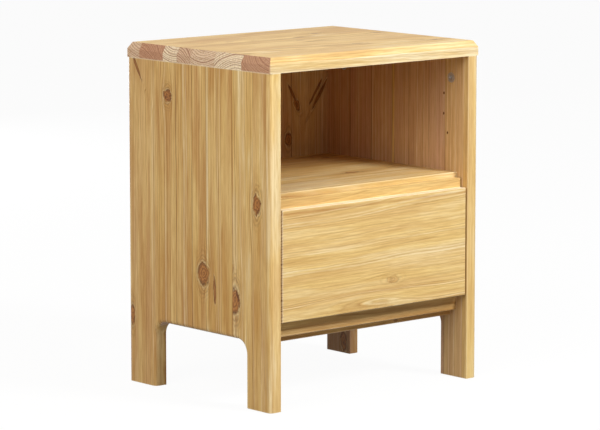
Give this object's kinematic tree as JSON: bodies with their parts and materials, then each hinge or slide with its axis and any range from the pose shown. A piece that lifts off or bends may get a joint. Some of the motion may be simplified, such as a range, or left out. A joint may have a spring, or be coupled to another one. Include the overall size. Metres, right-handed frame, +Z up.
{
  "type": "nightstand",
  "caption": "Pine nightstand with an open compartment over an inset drawer, on side panels cut to arched legs; the drawer slides out.",
  "frame": {"origin": "on the floor, in the middle of the box round the nightstand", "axes": "+Z up; the drawer and the open compartment face -Y; +X to the right of someone facing the front"},
  "size_m": [0.4, 0.32, 0.5],
  "materials": {
    "pine": "satin clear lacquer",
    "plywood": "raw birch plywood",
    "beech": "raw",
    "zinc_fittings": "die-cast zinc, dull",
    "zinc_screws": "zinc-plated steel",
    "coated_steel": "white epoxy coat",
    "nylon": "natural"
  },
  "bodies": {
    "cabinet": {"top_board": "pine", "left_side_panel": "pine", "right_side_panel": "pine", "shelf_board": "pine", "bottom_board": "pine", "stiffening_rail": "pine", "back_panel": "pine", "cam_locks": "zinc_fittings", "cam_bolts": "zinc_fittings", "cabinet_dowels": "beech", "back_panel_screws": "zinc_screws", "rail_screws": "zinc_screws", "left_cabinet_runner": "coated_steel", "right_cabinet_runner": "coated_steel", "cabinet_runner_screws": "zinc_screws", "front_roller_axles": "zinc_screws"},
    "drawer": {"drawer_front": "pine", "drawer_left_side": "pine", "drawer_right_side": "pine", "drawer_back": "pine", "drawer_bottom": "plywood", "drawer_cam_locks": "zinc_fittings", "drawer_cam_bolts": "zinc_fittings", "drawer_dowels": "beech", "drawer_back_screws": "zinc_screws", "drawer_bottom_screws": "zinc_screws", "left_drawer_runner": "coated_steel", "right_drawer_runner": "coated_steel", "drawer_runner_screws": "zinc_screws", "rear_roller_axles": "zinc_screws"},
    "left_front_roller": {"left_front_roller": "nylon"},
    "right_front_roller": {"right_front_roller": "nylon"},
    "left_rear_roller": {"left_rear_roller": "nylon"},
    "right_rear_roller": {"right_rear_roller": "nylon"}
  },
  "joints": [
    {"name": "drawer_slide", "type": "slide", "parent": "cabinet", "child": "drawer", "axis": [0, -1, 0], "range_m": [0, 0.18]},
    {"name": "left_front_roller_spin", "type": "hinge", "parent": "cabinet", "child": "left_front_roller", "pos_m": [-0.1748, -0.126, 0.1485], "axis": [1, 0, 0], "range_deg": [0, 1290]},
    {"name": "right_front_roller_spin", "type": "hinge", "parent": "cabinet", "child": "right_front_roller", "pos_m": [0.1748, -0.126, 0.1485], "axis": [1, 0, 0], "range_deg": [0, 1290]},
    {"name": "left_rear_roller_spin", "type": "hinge", "parent": "drawer", "child": "left_rear_roller", "pos_m": [-0.1748, 0.104, 0.1465], "axis": [1, 0, 0], "range_deg": [0, 1290]},
    {"name": "right_rear_roller_spin", "type": "hinge", "parent": "drawer", "child": "right_rear_roller", "pos_m": [0.1748, 0.104, 0.1465], "axis": [1, 0, 0], "range_deg": [0, 1290]}
  ],
  "couplings": [
    {"joint": "left_front_roller_spin", "follows": "drawer_slide", "rad_per_m": 125},
    {"joint": "right_front_roller_spin", "follows": "drawer_slide", "rad_per_m": 125},
    {"joint": "left_rear_roller_spin", "follows": "drawer_slide", "rad_per_m": 125},
    {"joint": "right_rear_roller_spin", "follows": "drawer_slide", "rad_per_m": 125}
  ]
}
